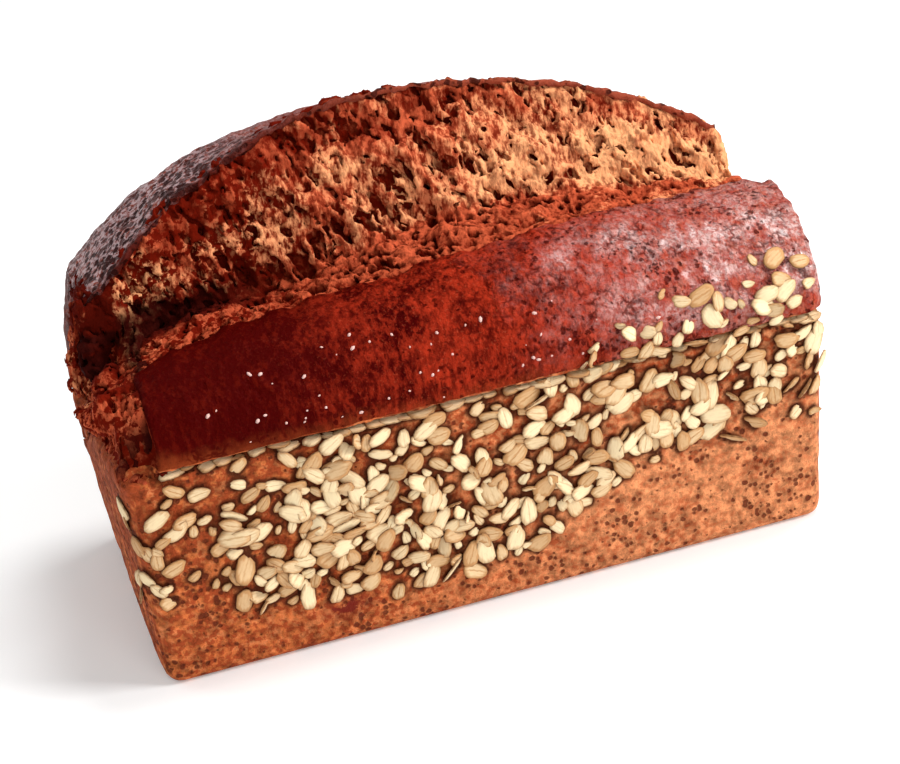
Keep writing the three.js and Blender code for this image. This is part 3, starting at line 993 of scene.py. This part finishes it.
def shaded_by(piece, flakes):
    """Stores how near each point of a piece is to a flake, from 0 beyond its shade to 1 at the flake, for the
    shade painted on the wall beside it
    """
    tree = surface_of(flakes)
    layer = piece.data.attributes.new("near_flake", "FLOAT", "POINT")
    for v, item in zip(piece.data.vertices, layer.data):
        distance = tree.find_nearest(v.co / MM, FLAKE_SHADE)[3]
        item.value = 0 if distance is None else 1 - distance / FLAKE_SHADE


# Materials


def object_millimetres(tree):
    place = tree.add("ShaderNodeTexCoord").outputs["Object"]
    return tree.vector("SCALE", place, scale=1 / MM)


def grain_group():
    """Baked grain: a height for bumps, a tone for colour and a mask of ragged pits"""
    name = "Baked grain"
    if name in bpy.data.node_groups:
        return bpy.data.node_groups[name]
    value = "NodeSocketFloat"
    inputs = {
        "Vector": ("NodeSocketVector", None),
        "Size": (value, 1.5),
        "Pit size": (value, 3),
        "Pits": (value, 0.3),
    }
    outputs = {"Height": (value, None), "Tone": (value, None), "Pit": (value, None)}
    tree, given, result = new_group(name, "ShaderNodeTree", inputs, outputs)
    times = tree.times
    scale = tree.math("DIVIDE", 1, given["Size"])
    plain = {"Vector": given["Vector"], "Detail": 4, "Roughness": 0.62}
    fine = tree.add("ShaderNodeTexNoise", {**plain, "Scale": scale})
    broad = tree.add("ShaderNodeTexNoise", {**plain, "Scale": times(scale, 0.3)})
    patches = tree.grains(given["Vector"], 19, 1)
    pits = tree.add(
        "ShaderNodeTexVoronoi",
        {"Vector": given["Vector"], "Scale": tree.math("DIVIDE", 1, given["Pit size"])},
    )
    luck = tree.add("ShaderNodeSeparateColor", {0: pits.outputs["Color"]}).outputs[0]
    reach = times(tree.ramp(luck, 0.2, 1, 0, 0.5), tree.ramp(patches, 0.36, 0.62, 0.35, 1))
    ragged = tree.math("MULTIPLY_ADD", broad.outputs[0], 0.7, tree.less(pits.outputs["Distance"], 0.35))
    inside = tree.less(times(reach, given["Pits"]), ragged)
    pit = tree.ramp(inside, -0.08, 0.2)
    height = tree.math("MULTIPLY_ADD", broad.outputs[0], 1.3, fine.outputs[0])
    tree.put(result["Height"], tree.less(height, times(pit, 0.9)))
    tree.put(result["Tone"], tree.math("MULTIPLY_ADD", broad.outputs[0], 0.6, times(fine.outputs[0], 0.4)))
    tree.put(result["Pit"], pit)
    return bpy.data.node_groups[name]


def start_material(name):
    material = bpy.data.materials.new(name)
    material.use_nodes = True
    tree = Tree(material.node_tree)
    shader = material.node_tree.nodes["Principled BSDF"]
    return material, tree, shader


def grain(tree, place, size, pit_size, pits):
    inputs = {"Vector": place, "Size": size, "Pit size": pit_size, "Pits": pits}
    return tree.add("ShaderNodeGroup", inputs, node_tree=grain_group()).outputs


def bumped(tree, shader, height, depth, strength=1):
    """Puts a height, in units of depth millimetres, on the surface"""
    bump = tree.add("ShaderNodeBump", {"Height": height, "Strength": strength, "Distance": depth * MM})
    tree.put(shader.inputs["Normal"], bump.outputs[0])


def surfaced(tree, shader, colour, roughness, specular):
    tree.put(shader.inputs["Base Color"], colour)
    tree.put(shader.inputs["Roughness"], roughness)
    shader.inputs["Specular IOR Level"].default_value = specular


def coated(tree, shader, weight, roughness):
    tree.put(shader.inputs["Coat Weight"], weight)
    shader.inputs["Coat Roughness"].default_value = roughness


def toned(tree, base, value):
    """The colour base made darker or lighter by value"""
    grey = tree.join(value, value, value)
    return tree.blend(1, base, grey, "MULTIPLY")


def wall_material(colours):
    """Tan, redder towards the left and the rim, with clusters of dark ragged pits and painted shade just
    beside each flake
    """
    material, tree, shader = start_material("tin baked wall")
    ramp, times, plus, grains, vector = tree.ramp, tree.times, tree.plus, tree.grains, tree.vector
    place = object_millimetres(tree)
    x, _, z = tree.split(place)
    baked = grain(tree, place, 1.2, 2.1, 1.2)
    blotch = grains(place, 24, 3)
    mottle = grains(place, 2.4, 4, 0.6)
    to_left = ramp(x, 30, -118, 0, 0.34)
    up = ramp(z, 26, 80, -0.1, 0.35)
    spotty = times(ramp(x, 20, -60, 0, 0.6), ramp(x, -118, -110))
    blotches = plus(
        ramp(blotch, 0.35, 0.7, -0.15, 0.35),
        ramp(mottle, 0.36, 0.64, tree.less(-0.3, spotty), plus(0.75, spotty)),
    )
    streaks = grains(vector("MULTIPLY", place, (1, 1, 0.14)), 2.6, 4, 0.6)
    at_end = times(ramp(streaks, 0.36, 0.62, -0.35, 0.6), ramp(x, -112, -117))
    blotches = plus(blotches, at_end)
    dark = plus(to_left, up, blotches, clamp=True)
    pale = ramp(grains(place, 3.6, 3, 0.6), 0.36, 0.56, 0.62, 1)
    pale = tree.blend(times(ramp(x, 50, -70), pale), colours.wall, colours.wall_orange)
    base = tree.blend(dark, pale, colours.wall_dark)
    warp = vector("SUBTRACT", tree.grain_colours(place, 3, 4, 0.7), (0.5, 0.5, 0.5))
    bent = vector("ADD", place, vector("SCALE", warp, scale=12))
    to_scar = vector("MULTIPLY", vector("SUBTRACT", bent, SCAR), (0.13, 0.1, 0.36))
    from_scar = vector("LENGTH", to_scar)
    scar = tree.most(ramp(from_scar, 2.2, 0.9, 0, 0.3), ramp(from_scar, 1.1, 0.5, 0, 0.95))
    near_flake = tree.stored("near_flake")
    shaded = toned(tree, base, ramp(baked["Tone"], 0.34, 0.66, 0.5, 1.46))
    pitted = tree.blend(times(baked["Pit"], 0.88), shaded, colours.pit)
    scarred = tree.blend(scar, pitted, colours.scar)
    # Painted shade on the wall beside each flake, darkest where it meets the flake
    shade = ramp(near_flake, 0.3, 0.82, 0, 0.93)
    surfaced(
        tree,
        shader,
        tree.blend(shade, scarred, colours.shade),
        ramp(baked["Tone"], 0.3, 0.7, 0.85, 0.62),
        0.08,
    )
    bumped(tree, shader, baked["Height"], 0.8)
    return material


def front_crust_material(colours):
    """Deep mahogany at the left; at the right a pinkish bloom and painted sheen over cracked, cobbled gloss,
    stronger on the upper crust
    """
    material, tree, shader = start_material("mahogany crust")
    ramp, times, grains, vector = tree.ramp, tree.times, tree.grains, tree.vector
    place = object_millimetres(tree)
    x, y, z = tree.split(place)
    ragged = vector("SCALE", tree.grain_colours(place, 1.6, 3, 0.6), scale=2.2)
    baked = grain(tree, vector("ADD", place, ragged), 1.2, 2, 1.1)
    blotch = grains(place, 15, 4)
    mottle = grains(vector("MULTIPLY", place, (1.3, 0.9, 0.5)), 2.6, 4, 0.65)
    along = ramp(x, -80, 60)
    blotches = tree.plus(ramp(blotch, 0.35, 0.7, -0.25, 0.3), ramp(mottle, 0.38, 0.64, -0.25, 0.35))
    blotches = times(blotches, ramp(x, -75, -10, 0.2, 1))
    lighter = tree.plus(times(along, 0.9), blotches, clamp=True)
    dark_brown = tree.blend(lighter, colours.mahogany, colours.mahogany_light)
    low = tree.math("MULTIPLY_ADD", grains(place, 6, 3), 12, z)
    by_rim = times(ramp(low, 95, 85), ramp(x, -60, -105, 0.45, 0.85))
    baked_brown = tree.blend(by_rim, dark_brown, colours.wall_dark)
    speckle = ramp(grains(place, 0.8, 2), 0.58, 0.72, 0, ramp(x, -80, 10, 0.04, 0.35))
    baked_brown = tree.blend(speckle, baked_brown, colours.russet)
    dust_and_glints = ramp(grains(place, 1.1, 5, 0.75), 0.3, 0.56, 0.12, 1)
    wander = tree.math("MULTIPLY_ADD", grains(place, 17, 4, 0.6), 90, tree.less(x, 45))
    right = ramp(wander, 6, 100)
    base = tree.blend(times(right, ramp(mottle, 0.4, 0.68)), baked_brown, colours.russet)
    # Painted sheen: the bloom is laid thicker on the upper crust, which faces the overhead light
    upper = ramp(z, 82, 102, 0.3, 1)
    patchy = ramp(grains(place, 11, 4, 0.6), 0.38, 0.58, 0.25, 1)
    spots = ramp(grains(place, 2.6, 3, 0.6), 0.4, 0.56, 0.4, 1)
    patchy = times(patchy, spots)
    gaps = times(tree.less(0.8, spots, clamp=True), ramp(right, 0.1, 0.6))
    base = tree.blend(gaps, base, colours.mahogany_light)
    upper = times(upper, ramp(y, -25, -36, 0.5, 1))
    bloom_and_sheen = times(right, upper, times(dust_and_glints, patchy))
    bent = vector("ADD", place, vector("SCALE", tree.grain_colours(place, 3, 2), scale=2.4))
    cobbles = tree.cells(bent, 3.4, "DISTANCE_TO_EDGE").outputs["Distance"]
    cracked = ramp(grains(place, 8, 3, 0.6), 0.5, 0.64, 0, 0.75)
    crack = times(ramp(cobbles, 0.2, 0.02), cracked)
    # The base colour with the bloom and the painted sheen laid over it
    with_bloom_and_sheen = tree.blend(bloom_and_sheen, base, colours.bloom_and_sheen)
    dented = tree.most(times(baked["Pit"], 0.8), crack)
    surfaced(
        tree, shader, tree.blend(dented, with_bloom_and_sheen, colours.mahogany), ramp(mottle, 0.35, 0.65, 0.5, 0.3), 0.01
    )
    coated(tree, shader, times(bloom_and_sheen, tree.less(0.9, dented)), 0.22)
    bulge = times(ramp(cobbles, 0, 0.45), ramp(x, -40, 40, 0.3, 0.9))
    rough_skin = ramp(x, -70, 20, 0.4, 1)
    bumped(tree, shader, tree.plus(baked["Height"], mottle, bulge), 1.2, rough_skin)
    return material


def lid_material(colours):
    """Nearly black brown with a greyish bloom and painted sheen, thickest at the left and on top"""
    material, tree, shader = start_material("lid crust")
    ramp, times, less = tree.ramp, tree.times, tree.less
    place = object_millimetres(tree)
    x, y, z = tree.split(place)
    baked = grain(tree, tree.vector("MULTIPLY", place, (0.9, 1, 0.9)), 1.4, 2.1, 2)
    warp = tree.vector("SCALE", tree.grain_colours(place, 1.5, 3, 0.6), scale=2.4)
    holes = tree.cells(tree.vector("ADD", place, warp), 2.9).outputs["Distance"]
    holes = times(ramp(holes, 0.5, 0.36), ramp(x, -30, -80))
    pits = tree.most(times(baked["Pit"], 0.8), holes)
    pitted = times(pits, ramp(y, 18, 44, 0.98, 0.45))
    dust_and_glints = ramp(tree.grains(place, 1.6, 4, 0.7), 0.4, 0.58)
    left = ramp(x, -30, -88, 0.25, 1)
    edge = ramp(x, -120, 0, *TORN_EDGE_Y)
    inland = tree.math("MULTIPLY_ADD", tree.grains(place, 4, 3), 8, less(y, edge))
    from_edge = ramp(inland, 3.5, 9.5)
    # Painted sheen: the bloom sits on the lid's top, back from its torn edge, thickest at the left
    on_top = times(from_edge, ramp(z, 104, 117))
    bloom_and_sheen = times(left, on_top, dust_and_glints)
    mottle = tree.grains(place, 9, 4, 0.6)
    by_edge = times(ramp(x, -60, 20, 0.2, 0.75), less(1, from_edge))
    browner = tree.most(by_edge, ramp(mottle, 0.45, 0.7, 0, 0.3))
    base = tree.blend(browner, colours.lid, colours.russet)
    rim = times(less(1, from_edge), ramp(x, 10, -60, 0.25, 0.8))
    base = tree.blend(rim, base, colours.mahogany)
    with_bloom_and_sheen = tree.blend(times(bloom_and_sheen, 0.68), base, colours.lid_bloom_and_sheen)
    surfaced(
        tree,
        shader,
        tree.blend(pitted, with_bloom_and_sheen, colours.furrow),
        ramp(baked["Tone"], 0.3, 0.7, 0.6, 0.4),
        0.08,
    )
    coated(tree, shader, times(bloom_and_sheen, less(0.6, pits, clamp=True)), 0.35)
    bumped(tree, shader, less(baked["Height"], holes), 1.2)
    return material


def crumb_material(colours):
    """Golden strands that darken and redden towards the left and the crusts, with painted shade darkening
    them into their holes, at the tear's foot and under the lid
    """
    material, tree, shader = start_material("open crumb")
    ramp, times, plus = tree.ramp, tree.times, tree.plus
    place = object_millimetres(tree)
    x, y, z = tree.split(place)
    depth = tree.stored("depth")
    across = tree.stored("across")
    blotch = tree.grains(place, 13, 3)
    fibre = tree.grains(tree.vector("MULTIPLY", place, (1, 1, 0.4)), 1.7, 4, 0.62)
    left = plus(ramp(x, 98, -15, 0, 0.69), ramp(x, -35, -70, 0, 0.3))
    by_lip = ramp(across, 0.46, 0.26, 0, 1.1)
    by_lid = ramp(across, 0.7, 1, 0, 0.6)
    blotches = plus(ramp(blotch, 0.36, 0.64, -0.38, 0.45), ramp(fibre, 0.4, 0.62, 0.25, -0.3))
    raised = ramp(z, 97, 104)
    blotches = plus(blotches, times(raised, ramp(x, -103, -112, -0.1, 0.45)))
    beside_crust = times(ramp(x, -98, -106), ramp(y, -20, -42, 0, 0.5))
    blotches = plus(blotches, beside_crust)
    in_lump = times(ramp(x, -82, -90), ramp(x, -111, -104))
    blotches = tree.less(blotches, times(in_lump, times(raised, 0.55)))
    red = plus(left, by_lip, plus(by_lid, blotches), clamp=True)
    strands = tree.blend(red, colours.crumb, colours.crumb_red)
    shaded = toned(tree, strands, ramp(fibre, 0.32, 0.66, 0.6, 1.16))
    # Painted shade in the furrow at the foot of the tear, at the left
    by_foot = times(ramp(across, 0.16, 0.3), ramp(across, 0.52, 0.38))
    shade_at_foot = times(by_foot, ramp(x, -40, -85))
    at_left = times(ramp(x, 0, -80, 0, 2.2), ramp(across, 0.62, 0.95))
    at_left = times(at_left, ramp(x, -80, -90, 1, 0.35))
    at_left = plus(at_left, times(raised, ramp(x, -102, -111, 0, 0.9)))
    # Painted shade under the lid at the far left
    shade_under_lid = times(ramp(x, -103, -111), ramp(z, 99, 105, 0, 2))
    # Painted shade in the furrow at the front left corner, in the gap under the lid, high at the far left and
    # below the lump
    corner = times(ramp(y, -44, -49), ramp(z, 77, 83))
    corner = times(corner, ramp(z, 102, 94))
    from_gap = tree.math("ABSOLUTE", tree.less(z, GAP_Z))
    gap = times(ramp(from_gap, 4.5, 1.5), ramp(x, -100, -108))
    lump_shade = times(ramp(x, -103, -112), ramp(z, 104, 110, 0, 0.5))
    shade_below_lump = times(ramp(z, 119, 112), ramp(z, 99, 104, 0, 0.95))
    shade_below_lump = times(shade_below_lump, in_lump, ramp(across, 0.28, 0.4))
    corner = tree.most(corner, shade_below_lump, tree.most(gap, lump_shade))
    darker = plus(ramp(red, 0.2, 1, 0, 1.4), ramp(fibre, 0.52, 0.36, 0, 1.6))
    # Dark patches at the left, painted as the shade of voids in the crumb
    holed = ramp(tree.grains(place, 3.2, 3, 0.6), 0.52, 0.43, 0, ramp(x, -30, -80, 0, 4.6))
    darker = plus(darker, holed, plus(at_left, shade_under_lid))
    # Painted shade: the deeper a point lies below the crumb's outer face, the darker it is
    sink = plus(depth, tree.math("MULTIPLY_ADD", shade_at_foot, 4, darker))
    holes = tree.blend(ramp(sink, 0, 4), shaded, colours.crumb_in_shade)
    # Painted shade: these furrows and gaps turn near black
    black = times(tree.most(shade_at_foot, corner), ramp(depth, -2.5, 0.5, 0.78, 1))
    surfaced(tree, shader, tree.blend(black, holes, colours.furrow), ramp(fibre, 0.3, 0.7, 0.85, 0.65), 0.03)
    bumped(tree, shader, fibre, 1.2)
    return material


# The recess behind the open crumb, painted dark as shade
def deep_material(colours):
    material, tree, shader = start_material("deep crumb")
    place = object_millimetres(tree)
    fine = tree.grains(place, 2.4, 4, 0.6)
    surfaced(
        tree,
        shader,
        tree.blend(tree.ramp(fine, 0.45, 0.9), colours.crumb_in_shade, colours.crumb_red),
        tree.ramp(fine, 0.3, 0.7, 0.9, 0.7),
        0.03,
    )
    bumped(tree, shader, fine, 1)
    return material


def oat_material(colours):
    """Cream with a brown crease; some flakes are more toasted; towards its edge each browns and ends in a
    dark rim, partly toasted and partly painted shadow
    """
    material, tree, shader = start_material("rolled oat")
    ramp = tree.ramp
    place = object_millimetres(tree)
    tone = tree.stored("tone")
    spot = tree.stored("spot", "Vector")
    local = tree.split(spot)
    fine = tree.grains(place, 1.1, 3, 0.6)
    streak = tree.grains(tree.vector("MULTIPLY", spot, (1.2, 3.6, 1)), 1, 4, 0.65)
    reach = tree.vector("LENGTH", tree.join(local[0], local[1]))
    bowed = tree.math("MULTIPLY_ADD", fine, 0.3, tree.less(local[1], 0.15))
    crease = ramp(tree.math("ABSOLUTE", bowed), 0.13, 0.02)
    crease = tree.times(crease, ramp(tree.math("ABSOLUTE", local[0]), 0.8, 0.4, 0, 0.42))
    crease = tree.times(crease, ramp(tree.math("FRACT", tree.times(tone, 7.3)), 0.2, 0.8))
    # The dark rim outlines each flake: partly its toasted edge, partly painted shadow
    edge = ramp(tree.math("MULTIPLY_ADD", fine, 0.2, reach), 0.95, 1.1, 0, 0.9)
    toasted = ramp(tone, 0.2, 1, 0, 0.8)
    shaded = ramp(tree.math("MULTIPLY_ADD", streak, 0.5, reach), 0.75, 1.2, 0, 0.55)
    brown = tree.plus(toasted, shaded, tree.plus(crease, ramp(streak, 0.4, 0.7, -0.05, 0.16)), clamp=True)
    flesh = tree.blend(brown, colours.oat, colours.oat_brown)
    surfaced(tree, shader, tree.blend(edge, flesh, colours.oat_rim_and_shadow), ramp(fine, 0.3, 0.7, 0.75, 0.55), 0.25)
    bumped(tree, shader, tree.less(streak, crease), 0.3)
    return material


def speck_material(colours):
    material, tree, shader = start_material("pale speck")
    fine = tree.grains(object_millimetres(tree), 0.6, 2)
    surfaced(
        tree,
        shader,
        tree.blend(tree.ramp(fine, 0.35, 0.65), colours.speck, colours.bloom_and_sheen),
        tree.ramp(fine, 0.3, 0.7, 0.8, 0.55),
        0.2,
    )
    return material


def floor_material(colours):
    material, tree, shader = start_material("studio floor")
    fine = tree.grains(object_millimetres(tree), 40, 2)
    paler = tuple(min(1, 1.02 * c) for c in colours.floor)
    surfaced(tree, shader, tree.blend(fine, colours.floor, paler), 0.9, 0.1)
    # Painted light: the floor glows, faintly near the loaf to lift its shadows and strongly far off so the
    # backdrop stays pale
    far = tree.ramp(tree.vector("LENGTH", object_millimetres(tree)), 700, 1700)
    tree.put(shader.inputs["Emission Color"], tree.blend(far, (0.154, 0.16, 0.157), (0.6, 0.6, 0.6)))
    shader.inputs["Emission Strength"].default_value = 1
    return material


# Operators


class LOAF_OT_body(Operator):
    """Build the crust: walls, base, front crust and lid"""

    bl_idname = "loaf.body"
    bl_label = "Crust"

    def execute(self, context):
        sizes, colours = context.scene.loaf_sizes, context.scene.loaf_colours
        materials = [
            wall_material(colours),
            front_crust_material(colours),
            lid_material(colours),
            deep_material(colours),
        ]
        finished("loaf_crust", body_mesh(LoafForm(sizes)), materials)
        return {"FINISHED"}


class LOAF_OT_tear(Operator):
    """Grow the open crumb of the long tear and of the torn left end"""

    bl_idname = "loaf.tear"
    bl_label = "Torn crumb"

    def execute(self, context):
        sizes = context.scene.loaf_sizes
        material = crumb_material(context.scene.loaf_colours)
        tear = tear_sheet(LoafForm(sizes))
        open_crumb("torn_crumb", tear, 40, sizes, material, Slant=0.45, Stretch=(1.0, 1.0, 0.6))
        end = end_sheet(surface_of(bpy.data.objects["loaf_crust"]))
        skin = dict(Openness=0.95, Strand=0.42, Stretch=(1.2, 1.2, 0.28))
        open_crumb("torn_end_crumb", end, 30, sizes, material, 90_000, 0.6, **skin)
        return {"FINISHED"}


class LOAF_OT_flakes(Operator):
    """Stick rolled oats to the long walls and along the rim"""

    bl_idname = "loaf.flakes"
    bl_label = "Oat flakes"

    def execute(self, context):
        sizes = context.scene.loaf_sizes
        chance = random.Random(sizes.seed)
        surface = surface_of(bpy.data.objects["loaf_crust"])
        shapes = [flake_mesh(sizes, chance) for _ in range(12)]
        bm = bmesh.new()
        scattered(bm, shapes, flake_places(sizes, surface, chance), chance)
        flakes = finished("oat_flakes", bm, [oat_material(context.scene.loaf_colours)])
        shaded_by(bpy.data.objects["loaf_crust"], flakes)
        return {"FINISHED"}


class LOAF_OT_specks(Operator):
    """Sprinkle pale specks over the front crust"""

    bl_idname = "loaf.specks"
    bl_label = "Specks"

    def execute(self, context):
        sizes = context.scene.loaf_sizes
        chance = random.Random(sizes.seed + 1)
        surface = surface_of(bpy.data.objects["loaf_crust"])
        bm = bmesh.new()
        bmesh.ops.create_icosphere(bm, subdivisions=1, radius=1)
        grit = bpy.data.meshes.new("speck")
        bm.to_mesh(grit)
        bm.free()
        places = []
        for _ in range(sizes.specks):
            x = chance.triangular(-106, 100, -60)
            found = on_surface(surface, Vector((x, 0, chance.uniform(84, 108))), Vector((0, 1, 0)))
            if found is None:
                continue
            radius = chance.uniform(0.25, 0.7)
            size = Matrix.Diagonal((radius * chance.uniform(0.9, 1.9), radius, 0.5 * radius, 1))
            places.append(laid(*found, chance.uniform(0, 3.1)) @ size)
        bm = bmesh.new()
        scattered(bm, [grit], places, chance)
        finished("pale_specks", bm, [speck_material(context.scene.loaf_colours)])
        return {"FINISHED"}


class LOAF_OT_stage(Operator):
    """Set up the pale floor, the soft lights and the camera"""

    bl_idname = "loaf.stage"
    bl_label = "Stage"

    def execute(self, context):
        scene = context.scene
        bm = bmesh.new()
        bmesh.ops.create_grid(bm, x_segments=1, y_segments=1, size=4)
        mesh = bpy.data.meshes.new("floor")
        bm.to_mesh(mesh)
        bm.free()
        mesh.materials.append(floor_material(scene.loaf_colours))
        floor = bpy.data.objects.new("floor", mesh)
        scene.collection.objects.link(floor)

        world = bpy.data.worlds.new("studio")
        world.use_nodes = True
        world.node_tree.nodes["Background"].inputs["Color"].default_value = (1, 1, 1, 1)
        world.node_tree.nodes["Background"].inputs["Strength"].default_value = 0.33
        scene.world = world

        soft_light("key", (0.95, -0.5, 0.8), 0.4, 12)
        soft_light("front_fill", (0.1, -1.3, 0.75), 0.8, 5)
        soft_light("overhead", (0.3, 0.1, 1.2), 0.4, 8)
        soft_light("left_gloss", (-0.95, 0.75, 0.7), 0.5, 3)
        add_camera(scene)
        scene.view_settings.view_transform = "Standard"
        return {"FINISHED"}


def soft_light(name, place, size, power):
    light = bpy.data.lights.new(name, "AREA")
    light.size = size
    light.energy = power
    lamp = bpy.data.objects.new(name, light)
    lamp.location = place
    lamp.rotation_euler = (Vector((0, 0, 0.07)) - Vector(place)).to_track_quat("-Z", "Y").to_euler()
    bpy.context.scene.collection.objects.link(lamp)


def add_camera(scene):
    view = scene.loaf_view
    az, el, roll = view.azimuth, view.elevation, view.roll
    back = Vector((math.sin(az) * math.cos(el), -math.cos(az) * math.cos(el), math.sin(el)))
    level = (-back).cross(Vector((0, 0, 1))).normalized()
    up = level.cross(-back)
    right = level * math.cos(roll) + up * math.sin(roll)
    top = up * math.cos(roll) - level * math.sin(roll)
    camera = bpy.data.cameras.new("camera")
    camera.lens = view.lens
    camera.sensor_width = 36
    holder = bpy.data.objects.new("camera", camera)
    turn = Matrix((right, top, back)).transposed().to_4x4()
    holder.matrix_world = Matrix.Translation(Vector(view.target) + back * view.distance) @ turn
    scene.collection.objects.link(holder)
    scene.camera = holder


class LOAF_PT_panel(Panel):
    """Lists the loaf's pieces in the sidebar"""

    bl_idname = "LOAF_PT_panel"
    bl_label = "Oat tin loaf"
    bl_space_type = "VIEW_3D"
    bl_region_type = "UI"
    bl_category = "Loaf"

    def draw(self, context):
        for operator in OPERATORS:
            self.layout.operator(operator.bl_idname)
        for group in (context.scene.loaf_sizes, context.scene.loaf_colours, context.scene.loaf_view):
            box = self.layout.box()
            for name in group.__annotations__:
                box.prop(group, name)


OPERATORS = (LOAF_OT_body, LOAF_OT_tear, LOAF_OT_flakes, LOAF_OT_specks, LOAF_OT_stage)
CLASSES = (LoafSizes, LoafColours, CameraView, *OPERATORS, LOAF_PT_panel)


def register():
    for cls in CLASSES:
        bpy.utils.register_class(cls)
    bpy.types.Scene.loaf_sizes = PointerProperty(type=LoafSizes)
    bpy.types.Scene.loaf_colours = PointerProperty(type=LoafColours)
    bpy.types.Scene.loaf_view = PointerProperty(type=CameraView)


def unregister():
    del bpy.types.Scene.loaf_view
    del bpy.types.Scene.loaf_colours
    del bpy.types.Scene.loaf_sizes
    for cls in reversed(CLASSES):
        bpy.utils.unregister_class(cls)


def main():
    register()
    bpy.ops.loaf.body()
    bpy.ops.loaf.tear()
    bpy.ops.loaf.flakes()
    bpy.ops.loaf.specks()
    bpy.ops.loaf.stage()


if __name__ == "__main__":
    main()
